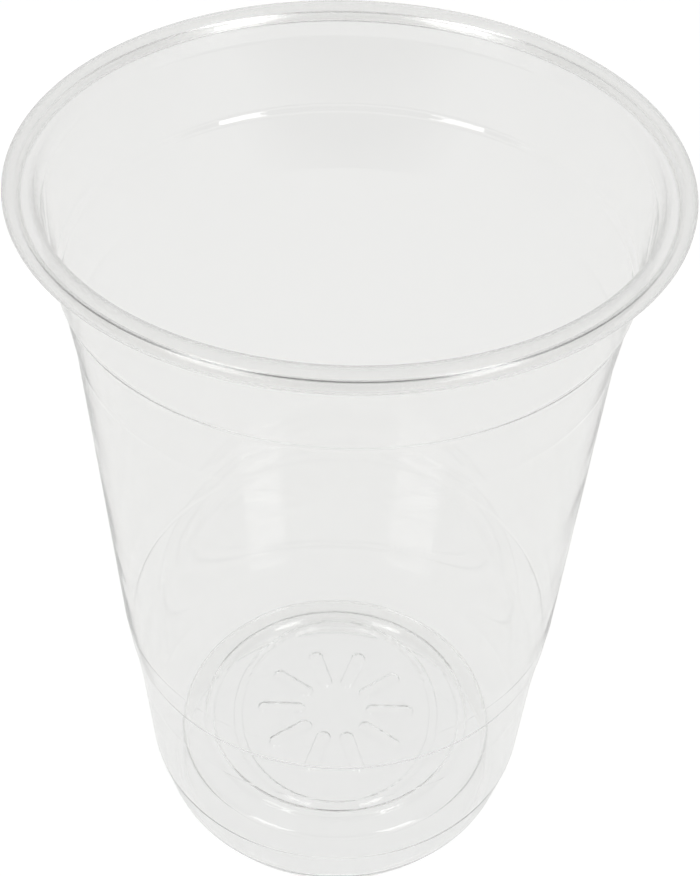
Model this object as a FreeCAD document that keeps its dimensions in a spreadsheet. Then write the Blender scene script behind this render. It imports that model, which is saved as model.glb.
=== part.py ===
import FreeCAD, Part
import math
import os
import Sketcher

# Clear plastic disposable cup: one sheet, formed and with its rim rolled outwards.
# Millimetres, +Z up. The origin is the centre of the foot ring, on the surface the cup stands on.
# The section is an outline of the outside of the sheet, the same outline one wall further in,
# and a curl that closes them at the rim.

# Driving sizes: alias, value, what it is
SIZES = [
    ("wall", 0.3, "thickness of the formed sheet"),
    ("rim_r", 46.0, "outside radius of the rolled rim"),
    ("lip_r", 2.7, "outside radius of the rolled rim's inner upper quarter"),
    ("curl_r", 1.6, "outside radius of the rest of the rolled rim's own section"),
    ("tuck_r", 0.8, "outside radius of the end tucked into the roll"),
    ("tuck_turn", 180.0, "how far the tucked end turns past the roll's lowest point, in degrees"),
    ("flare_r", 41.43, "outside radius where the wall starts to flare to the rim"),
    ("band_r", 40.35, "outside radius at the foot of the upper band"),
    ("step_r", 39.85, "outside radius under the small step"),
    ("neck_r", 38.55, "outside radius at the neck line, where the plain wall starts"),
    ("shoulder_r", 35.2, "outside radius at the top of the low shoulder"),
    ("ledge_r", 34.62, "outside radius above the fine ledge in the shoulder"),
    ("slope_r", 34.4, "outside radius under the fine ledge"),
    ("lower_r", 33.35, "outside radius at the bottom of the low shoulder"),
    ("bead_r", 32.1, "outside radius above the heel's fine step"),
    ("heel_r", 31.6, "outside radius at the top of the heel"),
    ("side_r", 30.2, "outside radius where the heel's two slopes would meet"),
    ("side_height", 3.6, "table to where the heel's two slopes would meet"),
    ("heel_height", 5.9, "from there to the top of the heel"),
    ("bead_height", 2.1, "height of the heel's fine step"),
    ("lower_height", 17.3, "fine step to the low shoulder"),
    ("slope_height", 9.1, "bottom of the shoulder to the fine ledge"),
    ("ledge_height", 0.6, "height of the fine ledge"),
    ("shoulder_height", 5.3, "fine ledge to the top of the shoulder"),
    ("body_height", 54.0, "shoulder to the neck line"),
    ("neck_height", 9.6, "neck line to the small step"),
    ("step_height", 1.1, "height of the small step"),
    ("band_height", 11.2, "small step to the start of the flare"),
    ("flare_height", 2.6, "start of the flare to the middle of the rolled rim"),
    ("foot_outer_r", 28.2, "radius where the heel's slope would meet the table"),
    ("foot_inner_r", 26.8, "inside radius of the foot ring"),
    ("panel_r", 26.5, "radius of the raised base panel"),
    ("panel_rise", 10.0, "table to the underside of the base panel"),
    ("ring_r", 22.3, "middle radius of the ring pressed into the panel"),
    ("ring_width", 1.8, "width of the pressed ring"),
    ("ring_crown", 0.8, "width of the pressed ring's flat crown"),
    ("ring_rise", 0.6, "height of the pressed ring"),
    ("side_round", 4.0, "round between the heel's two slopes"),
    ("toe_round", 0.8, "round between heel and foot ring"),
    ("foot_round", 0.45, "round between foot ring and raised base"),
    ("panel_round", 0.9, "round at the edge of the base panel"),
    ("crease_round", 3.0, "round at the wall's shallow creases"),
    ("step_round", 1.2, "round at the small step"),
    ("ledge_round", 0.5, "round at the fine ledge"),
    ("ring_round", 0.45, "round at the pressed ring"),
    ("oval_long", 20.2, "half the length of the oval ridge on the panel, to the ridge's middle"),
    ("oval_short", 17.3, "half the breadth of the oval ridge, to the ridge's middle"),
    ("oval_width", 1.2, "width of the oval ridge"),
    ("bar_count", 10, "raised bars on the base panel"),
    ("bar_inner_r", 5.5, "nearest the bars come to the middle"),
    ("bar_outer_r", 13.6, "furthest the bars reach"),
    ("bar_width", 2.2, "width of a bar"),
    ("bar_rise", 0.4, "height of the bars and the oval ridge above the panel"),
]

# The wall's stretches, from the table up to the middle of the rolled rim
STACK = ["side_height", "heel_height", "bead_height", "lower_height", "slope_height", "ledge_height",
         "shoulder_height", "body_height", "neck_height", "step_height", "band_height", "flare_height"]


def up_to(last):
    """The height of the top of a stretch of the wall, as an expression."""
    return " + ".join("sizes." + alias for alias in STACK[:STACK.index(last) + 1])


PANEL_Z = "sizes.panel_rise"
CROWN_Z = "sizes.panel_rise + sizes.ring_rise"
CURL_R = "sizes.rim_r - sizes.curl_r"
CURL_Z = up_to("flare_height")

# The outside outline's corners, from the base panel to the flare: name, radius, height.
# None is the table.
OUTLINE = [
    ("ring_in", "sizes.ring_r - sizes.ring_width / 2", PANEL_Z),
    ("ring_top_in", "sizes.ring_r - sizes.ring_crown / 2", CROWN_Z),
    ("ring_top_out", "sizes.ring_r + sizes.ring_crown / 2", CROWN_Z),
    ("ring_out", "sizes.ring_r + sizes.ring_width / 2", PANEL_Z),
    ("panel", "sizes.panel_r", PANEL_Z),
    ("foot_inner", "sizes.foot_inner_r", None),
    ("foot_outer", "sizes.foot_outer_r", None),
    ("side", "sizes.side_r", up_to("side_height")),
    ("heel", "sizes.heel_r", up_to("heel_height")),
    ("bead", "sizes.bead_r", up_to("bead_height")),
    ("lower", "sizes.lower_r", up_to("lower_height")),
    ("slope", "sizes.slope_r", up_to("slope_height")),
    ("ledge", "sizes.ledge_r", up_to("ledge_height")),
    ("shoulder", "sizes.shoulder_r", up_to("shoulder_height")),
    ("neck", "sizes.neck_r", up_to("body_height")),
    ("step", "sizes.step_r", up_to("neck_height")),
    ("band", "sizes.band_r", up_to("step_height")),
    ("flare", "sizes.flare_r", up_to("band_height")),
]

# Rounds on both faces of the sheet: name, corners, change of the radius on the inside face.
# Each takes its radius on the outside face from the size of its name. The inside face's round
# has the same middle, so the sheet keeps its thickness through every bend.
BULGE = " - sizes.wall"
HOLLOW = " + sizes.wall"
ROUNDS = [
    ("side_round", ["side"], BULGE),
    ("toe_round", ["foot_outer"], BULGE),
    ("foot_round", ["foot_inner"], BULGE),
    ("panel_round", ["panel"], HOLLOW),
    ("crease_round", ["bead", "shoulder"], BULGE),
    ("crease_round", ["heel", "lower", "neck", "flare"], HOLLOW),
    ("step_round", ["step"], HOLLOW),
    ("step_round", ["band"], BULGE),
    ("ledge_round", ["slope"], HOLLOW),
    ("ledge_round", ["ledge"], BULGE),
    ("ring_round", ["ring_in", "ring_out"], BULGE),
    ("ring_round", ["ring_top_in", "ring_top_out"], HOLLOW),
]

# Which point of a line or an arc, and the sketch's own origin and axes
START, END, CENTRE = 1, 2, 3
ORIGIN = (-1, START)
AXIS_X, AXIS_Y = -1, -2


def make_sheet(doc):
    """The spreadsheet of driving sizes."""
    sheet = doc.addObject("Spreadsheet::Sheet", "sizes")
    for row, (alias, value, note) in enumerate(SIZES, start=1):
        sheet.set("A%d" % row, note)
        sheet.set("B%d" % row, str(value))
        sheet.setAlias("B%d" % row, alias)
    doc.recompute()
    return sheet


def origin_plane(body, role):
    """One of the body's own origin planes."""
    return next(item for item in body.Origin.OriginFeatures if item.Role == role)


def new_sketch(body, name, role):
    """A sketch on one of the body's origin planes."""
    sketch = body.newObject("Sketcher::SketchObject", name)
    sketch.AttachmentSupport = (origin_plane(body, role), "")
    sketch.MapMode = "FlatFace"
    return sketch


def bind(sketch, name, expression, kind, *where):
    """Add a named size constraint and tie it to the sheet."""
    index = sketch.addConstraint(Sketcher.Constraint(kind, *where))
    sketch.renameConstraint(index, name)
    sketch.setExpression("Constraints." + name, expression)


def join(sketch, first, first_end, second, second_end):
    """Two ends meet."""
    sketch.addConstraint(Sketcher.Constraint("Coincident", first, first_end, second, second_end))


def value_of(sheet, expression):
    """The number that an expression of sheet sizes gives."""
    return float(sheet.evalExpression(expression.replace("sizes.", "")))


def offset_outline(points, wall):
    """The corners of an outline moved one wall to its left, from line to line."""
    moved = []
    lines = []
    for (ax, ay), (bx, by) in zip(points, points[1:]):
        length = math.hypot(bx - ax, by - ay)
        nx, ny = -(by - ay) / length, (bx - ax) / length
        lines.append((ax + nx * wall, ay + ny * wall, (bx - ax) / length, (by - ay) / length))
    for (ax, ay, ux, uy), (bx, by, vx, vy) in zip(lines, lines[1:]):
        along = ((bx - ax) * vy - (by - ay) * vx) / (ux * vy - uy * vx)
        moved.append((ax + along * ux, ay + along * uy))
    return moved


def section_sketch(body, sheet):
    """The closed half-section. Returns the sketch and each corner's line ends, outside and inside."""
    sketch = new_sketch(body, "section", "XZ_Plane")
    wall = float(sheet.wall)
    curl_r = float(sheet.curl_r)
    lip_r = float(sheet.lip_r)
    centre = (value_of(sheet, CURL_R), value_of(sheet, CURL_Z))
    lip_centre = (centre[0], centre[1] + curl_r - lip_r)
    outer = [(value_of(sheet, r), value_of(sheet, z) if z else 0.0) for name, r, z in OUTLINE]
    # The flare runs from the last corner to where it touches the roll
    dx, dy = lip_centre[0] - outer[-1][0], lip_centre[1] - outer[-1][1]
    slope = math.atan2(dy, dx) + math.asin((lip_r - wall) / math.hypot(dx, dy))
    touch = slope + math.pi / 2

    def on_circle(middle, radius, angle):
        return (middle[0] + radius * math.cos(angle), middle[1] + radius * math.sin(angle))

    panel_z = value_of(sheet, PANEL_Z)
    outer = [(0.0, panel_z)] + outer + [on_circle(lip_centre, lip_r - wall, touch)]
    inner = [(0.0, panel_z + wall)] + offset_outline(outer, wall) + [on_circle(lip_centre, lip_r, touch)]

    def line(a, b):
        start = FreeCAD.Vector(a[0], a[1], 0)
        end = FreeCAD.Vector(b[0], b[1], 0)
        return sketch.addGeometry(Part.LineSegment(start, end), False)

    outside = [line(a, b) for a, b in zip(outer, outer[1:])]
    inside = [line(a, b) for a, b in zip(inner, inner[1:])]
    # The roll runs clockwise from the flare: the lip up to the top, and the curl down to the lowest
    # point. From there the sheet's end turns up inside the roll, on a smaller radius.
    tuck_r = float(sheet.tuck_r)
    top, lowest = math.pi / 2, -math.pi / 2
    end_angle = lowest - math.radians(float(sheet.tuck_turn))
    tuck_centre = (centre[0], centre[1] - curl_r + tuck_r)

    def arc(middle, radius, first, last):
        circle = Part.Circle(FreeCAD.Vector(middle[0], middle[1], 0), FreeCAD.Vector(0, 0, 1), radius)
        return sketch.addGeometry(Part.ArcOfCircle(circle, first, last), False)

    lip_small = arc(lip_centre, lip_r - wall, top, touch)
    lip_large = arc(lip_centre, lip_r, top, touch)
    small = arc(centre, curl_r - wall, lowest, top)
    large = arc(centre, curl_r, lowest, top)
    tuck_small = arc(tuck_centre, tuck_r - wall, end_angle, lowest)
    tuck_large = arc(tuck_centre, tuck_r, end_angle, lowest)
    cap = line(*[on_circle(tuck_centre, radius, end_angle) for radius in (tuck_r - wall, tuck_r)])
    axis_line = line(outer[0], inner[0])

    # Lines follow each other, and the roll and the axis close them
    for run in (outside, inside):
        for first, second in zip(run, run[1:]):
            join(sketch, first, END, second, START)
    join(sketch, axis_line, START, outside[0], START)
    join(sketch, axis_line, END, inside[0], START)
    sketch.addConstraint(Sketcher.Constraint("PointOnObject", outside[0], START, AXIS_Y))
    sketch.addConstraint(Sketcher.Constraint("PointOnObject", inside[0], START, AXIS_Y))
    sketch.addConstraint(Sketcher.Constraint("Horizontal", outside[0]))
    join(sketch, cap, START, tuck_small, START)
    join(sketch, cap, END, tuck_large, START)
    join(sketch, small, CENTRE, large, CENTRE)
    join(sketch, lip_small, CENTRE, lip_large, CENTRE)
    join(sketch, tuck_small, CENTRE, tuck_large, CENTRE)
    sketch.addConstraint(Sketcher.Constraint("PointOnObject", tuck_small, CENTRE, cap))
    # The tucked end leaves the roll at its lowest point without a corner
    sketch.addConstraint(Sketcher.Constraint("Tangent", tuck_small, END, small, START))
    sketch.addConstraint(Sketcher.Constraint("Tangent", tuck_large, END, large, START))
    sketch.addConstraint(Sketcher.Constraint("Vertical", large, START, large, CENTRE))
    # The flare's two faces run into the lip, and the lip into the curl, without a corner
    sketch.addConstraint(Sketcher.Constraint("Tangent", outside[-1], END, lip_small, END))
    sketch.addConstraint(Sketcher.Constraint("Tangent", inside[-1], END, lip_large, END))
    sketch.addConstraint(Sketcher.Constraint("Tangent", lip_small, START, small, END))
    sketch.addConstraint(Sketcher.Constraint("Tangent", lip_large, START, large, END))
    sketch.addConstraint(Sketcher.Constraint("Vertical", large, END, large, CENTRE))

    # The outside corners take their places from the sheet
    corners = {}
    for number, (name, r, z) in enumerate(OUTLINE):
        bind(sketch, name + "_r", r, "DistanceX", *ORIGIN, outside[number], END, outer[number + 1][0])
        if z is None:
            sketch.addConstraint(Sketcher.Constraint("PointOnObject", outside[number], END, AXIS_X))
        elif name != "ring_in":
            bind(sketch, name + "_z", z, "DistanceY", *ORIGIN, outside[number], END, outer[number + 1][1])
        corners[name] = (outside[number], inside[number])
    bind(sketch, "panel_underside", PANEL_Z, "DistanceY", *ORIGIN, outside[0], START, panel_z)
    # The inside face lies one wall from the outside face
    for number, (out_line, in_line) in enumerate(zip(outside, inside)):
        sketch.addConstraint(Sketcher.Constraint("Parallel", out_line, in_line))
        if out_line != outside[-1]:
            bind(sketch, "wall_%d" % number, "sizes.wall", "Distance", out_line, START, in_line, wall)
    # The roll
    bind(sketch, "curl_centre_r", CURL_R, "DistanceX", *ORIGIN, large, CENTRE, centre[0])
    bind(sketch, "curl_centre_z", CURL_Z, "DistanceY", *ORIGIN, large, CENTRE, centre[1])
    bind(sketch, "curl_outside", "sizes.curl_r", "Radius", large, curl_r)
    bind(sketch, "curl_inside", "sizes.curl_r - sizes.wall", "Radius", small, curl_r - wall)
    bind(sketch, "lip_outside", "sizes.lip_r", "Radius", lip_large, lip_r)
    bind(sketch, "tuck_outside", "sizes.tuck_r", "Radius", tuck_large, tuck_r)
    # The cap points from the middle of the tuck: 270 degrees is straight down
    bind(sketch, "tuck_end", "(270 - sizes.tuck_turn) * 1 deg", "Angle", cap, end_angle + 2 * math.pi)
    return sketch, corners


def corner_edges(shape, sketch, lines):
    """Names of the circular edges that the ends of these sketch lines sweep."""
    names = []
    for geometry in lines:
        point = sketch.getPoint(geometry, END)
        found = []
        for number, edge in enumerate(shape.Edges, start=1):
            if edge.Curve.TypeId == "Part::GeomCircle" and edge.isClosed():
                gap = math.hypot(edge.Curve.Radius - point.x, edge.Curve.Center.z - point.y)
                found.append((gap, "Edge%d" % number))
        names.append(min(found)[1])
    return names


def add_rounds(doc, body, base, sketch, corners):
    """Round the sheet's corners on both faces, one group of corners at a time."""
    for name, members, inside_change in ROUNDS:
        for side, (face, change) in enumerate((("outside", ""), ("inside", inside_change))):
            edges = corner_edges(base.Shape, sketch, [corners[member][side] for member in members])
            fillet = body.newObject("PartDesign::Fillet", "%s_%s_%s" % (name, members[0], face))
            fillet.Base = (base, edges)
            fillet.setExpression("Radius", "sizes." + name + change)
            doc.recompute()
            base = fillet
    return base


def raise_from_panel(doc, body, sketch, name):
    """A pad of the sketch, from inside the panel's sheet up to the height of the raised marks."""
    sketch.setExpression("AttachmentOffset.Base.z", "sizes.panel_rise + sizes.wall / 2")
    doc.recompute()
    pad = body.newObject("PartDesign::Pad", name)
    pad.Profile = sketch
    pad.setExpression("Length", "sizes.wall / 2 + sizes.bar_rise")
    doc.recompute()
    return pad


def add_oval(doc, body, sheet):
    """A low oval ridge on the base panel, longest along Y."""
    sketch = new_sketch(body, "oval_outline", "XY_Plane")
    middle = FreeCAD.Vector(0, 0, 0)
    for name, change in (("outer", " + sizes.oval_width / 2"), ("inner", " - sizes.oval_width / 2")):
        half_long = "sizes.oval_long" + change
        half_short = "sizes.oval_short" + change
        long_end = FreeCAD.Vector(0, value_of(sheet, half_long), 0)
        short_end = FreeCAD.Vector(value_of(sheet, half_short), 0, 0)
        oval = sketch.addGeometry(Part.Ellipse(long_end, short_end, middle), False)
        sketch.exposeInternalGeometry(oval)
        long_axis, short_axis = oval + 1, oval + 2
        join(sketch, oval, CENTRE, *ORIGIN)
        sketch.addConstraint(Sketcher.Constraint("Vertical", long_axis))
        bind(sketch, name + "_long", "2 * (%s)" % half_long, "Distance", long_axis, 2 * long_end.y)
        bind(sketch, name + "_short", "2 * (%s)" % half_short, "Distance", short_axis, 2 * short_end.x)
    return raise_from_panel(doc, body, sketch, "oval_ridge")


def add_bars(doc, body, sheet):
    """Raised bars with round ends, spread round the middle of the base panel."""
    sketch = new_sketch(body, "bar_outline", "XY_Plane")
    half_width = "sizes.bar_width / 2"
    near_centre = "sizes.bar_inner_r + sizes.bar_width / 2"
    far_centre = "sizes.bar_outer_r - sizes.bar_width / 2"
    half = value_of(sheet, half_width)
    near = value_of(sheet, near_centre)
    far = value_of(sheet, far_centre)
    up = FreeCAD.Vector(0, 0, 1)
    right = math.pi / 2
    ends = []
    for x, first in ((near, right), (far, -right)):
        circle = Part.Circle(FreeCAD.Vector(x, 0, 0), up, half)
        ends.append(sketch.addGeometry(Part.ArcOfCircle(circle, first, first + math.pi), False))
    sides = []
    for begin, stop, y in ((near, far, -half), (far, near, half)):
        side = Part.LineSegment(FreeCAD.Vector(begin, y, 0), FreeCAD.Vector(stop, y, 0))
        sides.append(sketch.addGeometry(side, False))
    near_end, far_end = ends
    low, high = sides
    for first, first_end, second, second_end in ((near_end, END, low, START), (low, END, far_end, START),
                                                 (far_end, END, high, START), (high, END, near_end, START)):
        sketch.addConstraint(Sketcher.Constraint("Tangent", first, first_end, second, second_end))
    for end in ends:
        sketch.addConstraint(Sketcher.Constraint("PointOnObject", end, CENTRE, AXIS_X))
    bind(sketch, "half_width", half_width, "Radius", near_end, half)
    bind(sketch, "near", near_centre, "DistanceX", *ORIGIN, near_end, CENTRE, near)
    bind(sketch, "far", far_centre, "DistanceX", *ORIGIN, far_end, CENTRE, far)
    bar = raise_from_panel(doc, body, sketch, "bar")
    ring = body.newObject("PartDesign::PolarPattern", "bars")
    ring.Originals = [bar]
    ring.Axis = (sketch, ["N_Axis"])
    ring.Angle = 360
    ring.setExpression("Occurrences", "sizes.bar_count")
    body.Tip = ring
    doc.recompute()
    return ring


def make_cup(doc, sheet):
    """The cup: a revolved sheet, its rounds, and the oval ridge and bars on its base panel."""
    body = doc.addObject("PartDesign::Body", "cup")
    body.Label = "cup"
    sketch, corners = section_sketch(body, sheet)
    doc.recompute()
    turned = body.newObject("PartDesign::Revolution", "turned_sheet")
    turned.Profile = sketch
    turned.ReferenceAxis = (sketch, ["V_Axis"])
    turned.Angle = 360
    doc.recompute()
    add_rounds(doc, body, turned, sketch, corners)
    for add in (add_oval, add_bars):
        before = body.Shape.Volume
        add(doc, body, sheet)
        if body.Shape.Volume <= before:
            raise RuntimeError("%s adds nothing" % add.__name__)
    return body


def check(doc, bodies):
    """Stop if any object failed or any body's shape is unsound."""
    for item in doc.Objects:
        if "Invalid" in item.State or "Error" in item.State:
            raise RuntimeError("%s failed: %s" % (item.Name, item.State))
    for body in bodies:
        if body.Shape.isNull() or not body.Shape.isValid() or len(body.Shape.Solids) != 1:
            raise RuntimeError("%s has no sound solid" % body.Label)


def main():
    doc = FreeCAD.newDocument("disposable_cup")
    sheet = make_sheet(doc)
    bodies = [make_cup(doc, sheet)]
    doc.recompute()
    check(doc, bodies)
    os.makedirs("parts", exist_ok=True)
    for body in bodies:
        body.Shape.exportStep("parts/%s.step" % body.Label)
        box = body.Shape.optimalBoundingBox(False, False)
        print("%s: %.0f mm3, %.2f x %.2f x %.2f mm, lowest point %.3f"
              % (body.Label, body.Shape.Volume, box.XLength, box.YLength, box.ZLength, box.ZMin))


main()
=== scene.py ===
import bpy
import math
import numpy as np
from mathutils import Matrix, Vector


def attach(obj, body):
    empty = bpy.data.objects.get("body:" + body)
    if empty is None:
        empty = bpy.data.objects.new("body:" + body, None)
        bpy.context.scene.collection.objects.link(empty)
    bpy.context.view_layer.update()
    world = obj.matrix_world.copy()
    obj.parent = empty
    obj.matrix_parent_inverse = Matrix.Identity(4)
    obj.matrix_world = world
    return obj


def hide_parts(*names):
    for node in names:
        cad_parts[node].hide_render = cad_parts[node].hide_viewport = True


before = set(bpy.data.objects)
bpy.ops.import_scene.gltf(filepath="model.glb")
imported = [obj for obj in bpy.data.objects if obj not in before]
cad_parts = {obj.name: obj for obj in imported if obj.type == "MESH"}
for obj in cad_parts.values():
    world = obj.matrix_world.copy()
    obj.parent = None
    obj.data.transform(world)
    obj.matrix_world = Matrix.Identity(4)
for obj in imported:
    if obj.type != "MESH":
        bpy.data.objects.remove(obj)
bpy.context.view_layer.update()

# Metres in Blender, in the CAD frame: +Z up, the cup stands on the table at the origin.
# The sizes of the cup below are the source's own, in millimetres. Only the rounds at the neck line
# and at the small step are softer here than in the source.
MM = 0.001

# Camera, fitted to the photograph's outline
LENS_MM = 69.86
CAMERA_AT = Vector((0.0, -0.19353, 0.24592))
CAMERA_RIGHT = Vector((0.99960697, 0.0154649, 0.02338246))
CAMERA_UP = Vector((-0.02775753, 0.66283565, 0.74825024))
CAMERA_FORWARD = Vector((0.00392711, 0.74860519, -0.66300441))

# The formed sheet and its rolled rim
WALL = 0.3
PANEL_Z = 10.0
ROLL_R, ROLL_Z, ROLL_ROUND, LIP_ROUND = 44.4, 122.4, 1.6, 2.7
TUCK_ROUND, TUCK_TURN = 0.8, math.pi

# Corners of the sheet's outside face, from the base panel up to the flare: radius, height, round
OUTLINE = [
    (21.4, PANEL_Z, 0.45), (21.9, 10.6, 0.45), (22.7, 10.6, 0.45), (23.2, PANEL_Z, 0.45),
    (26.5, PANEL_Z, 0.9), (26.8, 0.0, 0.45), (28.2, 0.0, 0.8), (30.2, 3.6, 4.0),
    (31.6, 9.5, 3.0), (32.1, 11.6, 3.0), (33.35, 28.9, 3.0), (34.4, 38.0, 0.5),
    (34.62, 38.6, 0.5), (35.2, 43.9, 3.0), (38.55, 97.9, 8.0), (39.85, 107.5, 2.4),
    (40.35, 108.6, 2.4), (41.43, 119.8, 3.0),
]

# Raised marks on the base panel: ten plain bars inside an oval ridge
MARK_RISE = 0.4
MARK_EDGE = 0.55
BAR_COUNT, BAR_INNER_R, BAR_OUTER_R, BAR_WIDTH = 10, 5.5, 13.6, 2.2
OVAL_SHORT, OVAL_LONG, OVAL_WIDTH = 17.3, 20.2, 1.2

# The finer mesh of the sheet
SEGMENTS = 220
BEND_STEP = math.radians(11)
ROLL_STEP = math.radians(5)
SLOPE_REACH = 0.02
# Rings of vertices on the base panel, closest where the marks have edges: first radius, last, how many
PANEL_RINGS = [(2.5, 5.1, 1), (5.1, 7.1, 8), (7.1, 12.0, 10), (12.0, 14.0, 8), (14.0, 16.4, 1),
               (16.4, 21.05, 18)]

# How wavy the sheet is, and how much it belongs to the rim, at heights on it
WAVY_AT, WAVY = [12.0, 40.0, 80.0, 104.0], [0.0, 1.0, 1.0, 0.0]
ROLLED_AT, ROLLED = [119.0, 122.0], [0.0, 1.0]

# The clear plastic: its tint, and the light that its shadow lets through
TINT = (0.978, 0.978, 0.975, 1)
SHADOW_TINT = (0.984, 0.985, 0.986, 1)
WALL_ROUGHNESS, RIM_ROUGHNESS = 0.03, 0.16
WAVE_SCALE, WAVE_DEPTH, WAVE_STRENGTH = 42.0, 0.0004, 0.3

# The studio's brightness, as the plastic shows it
ROOM, DARK_SIDE = 0.85, 0.3
ROOM_WHITE = (1, 1, 0.993, 1)
# The dark side lies above the table, below the ceiling and to the front: axis, from none, to full
DARK_EDGES = [("Z", 0.10, 0.24), ("Z", 0.84, 0.70), ("Y", 0.5, 0.0)]

# The table, in metres: where the backdrop takes over, and where it ends in front of the cup
TABLE_SIZE = 6.0
BACKDROP_FROM, BACKDROP_TO = 0.3, 0.9
FRONT_FROM, FRONT_TO = -0.20, -0.32
TABLE_LIFT = 0.17

# Soft lights, seen from the cup: azimuth, lowest and highest elevation, width in metres, watts
LIGHT_DISTANCE, LIGHT_AIM = 3.0, Vector((0, 0, 0.06))
LIGHTS = {
    "left_box": (228, 22, 52, 1.15, 23.4),
    "left_strip": (228, 12, 17.5, 1.15, 4),
    "right_box": (314, 22, 52, 0.98, 23.4),
    "right_strip": (314, 12, 17.5, 0.98, 4),
}


def panel_radii():
    """Radii of the base panel's rings of vertices."""
    radii = []
    for first, last, count in PANEL_RINGS:
        radii += [first + (last - first) * step / count for step in range(count)]
    return radii


def bend(before, corner, after, rounding):
    """Rows round one corner: a point on the outside face, and the way to the inside face."""
    first = math.atan2(corner[1] - before[1], corner[0] - before[0])
    last = math.atan2(after[1] - corner[1], after[0] - corner[0])
    turn = (last - first + math.pi) % (2 * math.pi) - math.pi
    side = math.copysign(1.0, turn)
    reach = rounding * math.tan(abs(turn) / 2)
    start = (corner[0] - reach * math.cos(first), corner[1] - reach * math.sin(first))
    middle = (start[0] - side * rounding * math.sin(first), start[1] + side * rounding * math.cos(first))
    count = max(2, math.ceil(abs(turn) / BEND_STEP))
    rows = []
    for step in range(count + 1):
        heading = first + turn * step / count
        way = (-math.sin(heading), math.cos(heading))
        rows.append((middle[0] - side * rounding * way[0], middle[1] - side * rounding * way[1], *way))
    return rows


def roll(middle, rounding, first, last):
    """Rows round part of the rolled rim, clockwise."""
    count = math.ceil((first - last) / ROLL_STEP)
    reach = rounding - WALL
    rows = []
    for step in range(count + 1):
        angle = first + (last - first) * step / count
        way = (math.cos(angle), math.sin(angle))
        rows.append((middle[0] + reach * way[0], middle[1] + reach * way[1], *way))
    return rows


def section():
    """Rows from the axis to the sheet's end in the rim: radius, height, and the way to the inside face."""
    flare = OUTLINE[-1]
    lip_z = ROLL_Z + ROLL_ROUND - LIP_ROUND
    tuck_z = ROLL_Z - ROLL_ROUND + TUCK_ROUND
    dx, dy = ROLL_R - flare[0], lip_z - flare[1]
    touch = math.atan2(dy, dx) + math.asin((LIP_ROUND - WALL) / math.hypot(dx, dy)) + math.pi / 2
    top, lowest = math.pi / 2, -math.pi / 2
    lip = roll((ROLL_R, lip_z), LIP_ROUND, touch, top)
    curl = roll((ROLL_R, ROLL_Z), ROLL_ROUND, top, lowest)
    tuck = roll((ROLL_R, tuck_z), TUCK_ROUND, lowest, lowest - TUCK_TURN)
    rows = [(radius, PANEL_Z, 0.0, 1.0) for radius in [0.0] + panel_radii()]
    corners = [(0.0, PANEL_Z)] + [corner[:2] for corner in OUTLINE] + [lip[0][:2]]
    for before, corner, after, (_, _, rounding) in zip(corners, corners[1:], corners[2:], OUTLINE):
        rows += bend(before, corner, after, rounding)
    return np.array(rows + lip + curl[1:] + tuck[1:])


def smooth_step(distance):
    """1 inside a mark, 0 outside it, with a smooth edge. Distance is how far outside the edge's middle."""
    part = np.clip(0.5 - distance / MARK_EDGE, 0.0, 1.0)
    return part * part * (3 - 2 * part)


def marks(x, y):
    """Height of the pressed marks at a place on the base panel."""
    spread = 2 * math.pi / BAR_COUNT
    radius = np.hypot(x, y)
    angle = np.arctan2(y, x)
    off = angle - spread * np.round(angle / spread)
    along, across = radius * np.cos(off), radius * np.sin(off)
    half = BAR_WIDTH / 2
    beyond = along - np.clip(along, BAR_INNER_R + half, BAR_OUTER_R - half)
    bars = smooth_step(np.hypot(beyond, across) - half)
    level = np.hypot(x / OVAL_SHORT, y / OVAL_LONG)
    slope = np.hypot(x / OVAL_SHORT ** 2, y / OVAL_LONG ** 2) / np.maximum(level, 0.1)
    oval = smooth_step(np.abs((level - 1) / slope) - OVAL_WIDTH / 2)
    inside_ring = radius < OUTLINE[0][0] - 0.2
    return MARK_RISE * np.where(inside_ring, np.maximum(bars, oval), 0.0)


def around(column_r, column_z, turn):
    """Turn radii and heights round the axis."""
    return np.stack([column_r * np.cos(turn), column_r * np.sin(turn), column_z + 0 * turn], axis=-1)


def sheet_faces(turn):
    """Places and normals on both faces of the sheet, row by row: the outside face, then back inside."""
    radius, height, way_r, way_z = (column[:, None] for column in section().T)
    place = around(radius, height, turn)
    way = around(way_r, way_z, turn)
    x, y = place[..., 0], place[..., 1]
    on_panel = height == PANEL_Z
    rise_x = marks(x + SLOPE_REACH, y) - marks(x - SLOPE_REACH, y)
    rise_y = marks(x, y + SLOPE_REACH) - marks(x, y - SLOPE_REACH)
    slope = np.stack([rise_x, rise_y, 0 * x], axis=-1) / (2 * SLOPE_REACH) * on_panel[..., None]
    normal = way - slope
    normal /= np.linalg.norm(normal, axis=-1, keepdims=True)
    place[..., 2] += marks(x, y) * on_panel
    places = np.concatenate([place, (place + WALL * way)[::-1]])
    normals = np.concatenate([-normal, normal[::-1]])
    return places, normals


def closed(rows):
    """Vertices in the mesh's order: all rows between the two poles, then the poles."""
    return np.concatenate([rows[1:-1].reshape(-1, 3), rows[0, :1], rows[-1, :1]])


def polygons(row_count):
    """Quads between the rows, and triangles to the poles on the axis."""
    here = np.arange(SEGMENTS)
    after = np.roll(here, -1)
    faces = []
    for row in range(row_count - 1):
        a, b = row * SEGMENTS, (row + 1) * SEGMENTS
        faces += np.stack([a + here, a + after, b + after, b + here], axis=1).tolist()
    last = (row_count - 1) * SEGMENTS
    low_pole, high_pole = row_count * SEGMENTS, row_count * SEGMENTS + 1
    faces += [[low_pole, b, a] for a, b in zip(here.tolist(), after.tolist())]
    faces += [[high_pole, last + a, last + b] for a, b in zip(here.tolist(), after.tolist())]
    return faces


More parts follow.
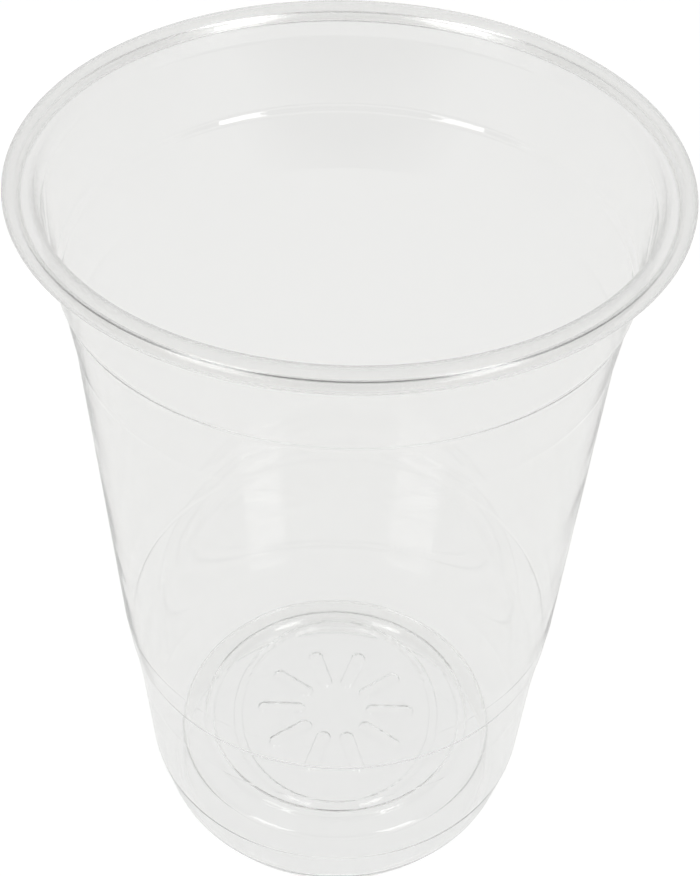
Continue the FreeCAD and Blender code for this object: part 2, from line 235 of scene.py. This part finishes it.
def mark_sharp(mesh, first_row):
    """The sheet's cut end keeps its sharp edges, along this row and the next."""
    sharp = []
    for edge in mesh.edges:
        first, second = (vertex // SEGMENTS for vertex in edge.vertices)
        sharp.append(first == second and first in (first_row, first_row + 1))
    mesh.attributes.new("sharp_edge", "BOOLEAN", "EDGE").data.foreach_set("value", sharp)


def cut_normals(places, first_row, turn):
    """Normals of the sheet's cut end, one to each place round the axis."""
    across = places[first_row + 2] - places[first_row + 1]
    ahead = np.stack([-np.sin(turn), np.cos(turn), 0 * turn], axis=-1)
    normals = np.cross(ahead, across)
    return normals / np.linalg.norm(normals, axis=-1, keepdims=True)


def add_amount(mesh, name, places, heights, amounts):
    """Store on the mesh an amount that follows the height of each vertex."""
    amount = np.interp(places[1:-1, :, 2], heights, amounts).reshape(-1)
    values = np.concatenate([amount, [amounts[0], amounts[0]]])
    mesh.attributes.new(name, "FLOAT", "POINT").data.foreach_set("value", values)


def cup_mesh():
    """The whole sheet as one closed mesh, with its true normals."""
    turn = np.arange(SEGMENTS) * 2 * math.pi / SEGMENTS
    places, normals = sheet_faces(turn)
    row_count = len(places) - 2
    mesh = bpy.data.meshes.new("cup_sheet")
    mesh.from_pydata((closed(places) * MM).tolist(), [], polygons(row_count))
    mesh.shade_smooth()
    # The outside face's last row. The next one is the inside face's, and the cut end lies between them
    end_row = row_count // 2 - 1
    mark_sharp(mesh, end_row)
    loops = np.empty(len(mesh.loops), dtype=int)
    mesh.loops.foreach_get("vertex_index", loops)
    loop_normals = closed(normals)[loops]
    cut = slice(end_row * SEGMENTS * 4, (end_row + 1) * SEGMENTS * 4)
    loop_normals[cut] = cut_normals(places, end_row, turn)[loops[cut] % SEGMENTS]
    mesh.normals_split_custom_set(loop_normals.tolist())
    # The thin formed wall is a little uneven, while the rim and the foot are true
    add_amount(mesh, "waves", places, WAVY_AT, WAVY)
    # The stretched and rolled rim is less clear than the wall
    add_amount(mesh, "rolled", places, ROLLED_AT, ROLLED)
    return mesh


def node(tree, kind, **inputs):
    """A shader node with its input values."""
    made = tree.nodes.new(kind)
    for name, value in inputs.items():
        made.inputs[name.replace("_", " ")].default_value = value
    return made


def combined(tree, operation, first, second):
    """Two numbers combined by one operation."""
    made = tree.nodes.new("ShaderNodeMath")
    made.operation = operation
    tree.links.new(first, made.inputs[0])
    tree.links.new(second, made.inputs[1])
    return made


def mixed(tree, amount, first, second):
    """Two shaders blended by an amount."""
    made = tree.nodes.new("ShaderNodeMixShader")
    tree.links.new(amount, made.inputs["Fac"])
    tree.links.new(first.outputs[0], made.inputs[1])
    tree.links.new(second.outputs[0], made.inputs[2])
    return made


def attribute(tree, name):
    """An amount that the mesh stores."""
    made = tree.nodes.new("ShaderNodeAttribute")
    made.attribute_name = name
    return made.outputs["Fac"]


def empty_material(name):
    """A material with only its output."""
    material = bpy.data.materials.new(name)
    material.use_nodes = True
    tree = material.node_tree
    tree.nodes.clear()
    return material, tree, tree.nodes.new("ShaderNodeOutputMaterial")


def clear_plastic():
    """Clear formed sheet: glossy, slightly grey, with the soft unevenness of thin formed plastic."""
    material, tree, out = empty_material("clear_plastic")
    link = tree.links.new
    plastic = node(tree, "ShaderNodeBsdfPrincipled", Base_Color=TINT, IOR=1.5, Transmission_Weight=1.0)
    rough = node(tree, "ShaderNodeMapRange", To_Min=WALL_ROUGHNESS, To_Max=RIM_ROUGHNESS)
    link(attribute(tree, "rolled"), rough.inputs["Value"])
    link(rough.outputs["Result"], plastic.inputs["Roughness"])
    place = tree.nodes.new("ShaderNodeTexCoord")
    noise = node(tree, "ShaderNodeTexNoise", Scale=WAVE_SCALE, Detail=2.0, Roughness=0.45)
    link(place.outputs["Object"], noise.inputs["Vector"])
    height = combined(tree, "MULTIPLY", noise.outputs["Fac"], attribute(tree, "waves"))
    bump = node(tree, "ShaderNodeBump", Strength=WAVE_STRENGTH, Distance=WAVE_DEPTH)
    link(height.outputs[0], bump.inputs["Height"])
    link(bump.outputs["Normal"], plastic.inputs["Normal"])
    # Light on its way to the table, from the lights and from the room, passes straight through
    clear = node(tree, "ShaderNodeBsdfTransparent", Color=SHADOW_TINT)
    ray = tree.nodes.new("ShaderNodeLightPath")
    passing = combined(tree, "MAXIMUM", ray.outputs["Is Shadow Ray"], ray.outputs["Is Diffuse Ray"])
    link(mixed(tree, passing.outputs[0], plastic, clear).outputs[0], out.inputs["Surface"])
    return material


def studio_world():
    """White to the camera. In the plastic, a white room whose camera side is dark above the table."""
    world = bpy.data.worlds.new("studio")
    bpy.context.scene.world = world
    world.use_nodes = True
    tree = world.node_tree
    tree.nodes.clear()
    link = tree.links.new
    out = tree.nodes.new("ShaderNodeOutputWorld")
    ray = tree.nodes.new("ShaderNodeLightPath")
    place = tree.nodes.new("ShaderNodeTexCoord")
    split = tree.nodes.new("ShaderNodeSeparateXYZ")
    link(place.outputs["Generated"], split.inputs[0])
    parts = []
    for axis, none, full in DARK_EDGES:
        part = node(tree, "ShaderNodeMapRange", From_Min=none, From_Max=full)
        part.interpolation_type = "SMOOTHSTEP"
        link(split.outputs[axis], part.inputs["Value"])
        parts.append(part.outputs["Result"])
    dark = parts[0]
    for part in parts[1:]:
        dark = combined(tree, "MULTIPLY", dark, part).outputs[0]
    level = node(tree, "ShaderNodeMapRange", To_Min=ROOM, To_Max=DARK_SIDE)
    link(dark, level.inputs["Value"])
    room = node(tree, "ShaderNodeBackground", Color=ROOM_WHITE)
    link(level.outputs[0], room.inputs["Strength"])
    seen = node(tree, "ShaderNodeBackground", Color=(1, 1, 1, 1), Strength=1.0)
    link(mixed(tree, ray.outputs["Is Camera Ray"], room, seen).outputs[0], out.inputs["Surface"])


def pale_floor():
    """The pale table top, with the cup's soft shadow on it. Further out it is an even backdrop."""
    bpy.ops.mesh.primitive_plane_add(size=TABLE_SIZE, location=(0, 0, 0))
    floor = bpy.context.object
    floor.name = "floor"
    material, tree, out = empty_material("floor_white")
    link = tree.links.new
    ray = tree.nodes.new("ShaderNodeLightPath")
    place = tree.nodes.new("ShaderNodeTexCoord").outputs["Object"]
    matt = node(tree, "ShaderNodeBsdfDiffuse", Color=(0.9, 0.9, 0.895, 1))
    away = tree.nodes.new("ShaderNodeVectorMath")
    away.operation = "LENGTH"
    far = node(tree, "ShaderNodeMapRange", From_Min=BACKDROP_FROM, From_Max=BACKDROP_TO)
    far.interpolation_type = "SMOOTHSTEP"
    link(place, away.inputs[0])
    link(away.outputs["Value"], far.inputs["Value"])
    # As the plastic shows it, it is as bright as the room behind it
    backdrop = node(tree, "ShaderNodeEmission", Color=ROOM_WHITE, Strength=ROOM)
    table = mixed(tree, far.outputs["Result"], matt, backdrop)
    # In the plastic's reflections the table ends in front of the cup, where the dark room begins
    split = tree.nodes.new("ShaderNodeSeparateXYZ")
    front = node(tree, "ShaderNodeMapRange", From_Min=FRONT_FROM, From_Max=FRONT_TO)
    link(place, split.inputs[0])
    link(split.outputs["Y"], front.inputs["Value"])
    mirrored = combined(tree, "MULTIPLY", front.outputs["Result"], ray.outputs["Glossy Depth"])
    mirrored.use_clamp = True
    room = node(tree, "ShaderNodeEmission", Color=(1, 1, 0.99, 1), Strength=DARK_SIDE)
    beyond = mixed(tree, mirrored.outputs[0], table, room)
    # To the camera it is white, but for the shadow
    lift = node(tree, "ShaderNodeEmission", Color=(1, 1, 1, 1), Strength=TABLE_LIFT)
    near = tree.nodes.new("ShaderNodeAddShader")
    link(matt.outputs[0], near.inputs[0])
    link(lift.outputs[0], near.inputs[1])
    white = node(tree, "ShaderNodeEmission", Color=(1, 1, 1, 1), Strength=1.0)
    seen = mixed(tree, far.outputs["Result"], near, white)
    link(mixed(tree, ray.outputs["Is Camera Ray"], beyond, seen).outputs[0], out.inputs["Surface"])
    floor.data.materials.append(material)


def soft_light(name, azimuth, low, high, width, watts):
    """A soft light on one side, turned to the cup."""
    light = bpy.data.lights.new(name, "AREA")
    light.shape = "RECTANGLE"
    middle = math.radians((low + high) / 2)
    span = math.radians(high - low)
    light.size = width
    light.size_y = 2 * LIGHT_DISTANCE * math.tan(span / 2)
    light.energy = watts
    lamp = bpy.data.objects.new(name, light)
    bpy.context.scene.collection.objects.link(lamp)
    turn = math.radians(azimuth)
    away = Vector((math.cos(turn) * math.cos(middle), math.sin(turn) * math.cos(middle), math.sin(middle)))
    lamp.location = away * LIGHT_DISTANCE + LIGHT_AIM
    lamp.rotation_euler = away.to_track_quat("Z", "Y").to_euler()


def camera():
    """The photograph's view."""
    data = bpy.data.cameras.new("camera")
    data.sensor_fit = "AUTO"
    data.sensor_width = 36.0
    data.lens = LENS_MM
    data.clip_start = 0.01
    made = bpy.data.objects.new("camera", data)
    bpy.context.scene.collection.objects.link(made)
    turned = Matrix((CAMERA_RIGHT, CAMERA_UP, -CAMERA_FORWARD)).transposed().to_4x4()
    made.matrix_world = Matrix.Translation(CAMERA_AT) @ turned
    bpy.context.scene.camera = made


sheet = bpy.data.objects.new("cup_sheet", cup_mesh())
bpy.context.scene.collection.objects.link(sheet)
sheet.data.materials.append(clear_plastic())
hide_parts("cup")
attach(sheet, "root")
studio_world()
pale_floor()
for light_name, light_values in LIGHTS.items():
    soft_light(light_name, *light_values)
camera()
scene = bpy.context.scene
scene.view_settings.view_transform = "Standard"
scene.cycles.max_bounces = 24
scene.cycles.transmission_bounces = 20
scene.cycles.transparent_max_bounces = 24
scene.cycles.glossy_bounces = 8
# Light reaches the table by the plastic's clear shadow alone, so it isn't counted twice
scene.cycles.caustics_reflective = False
scene.cycles.caustics_refractive = False
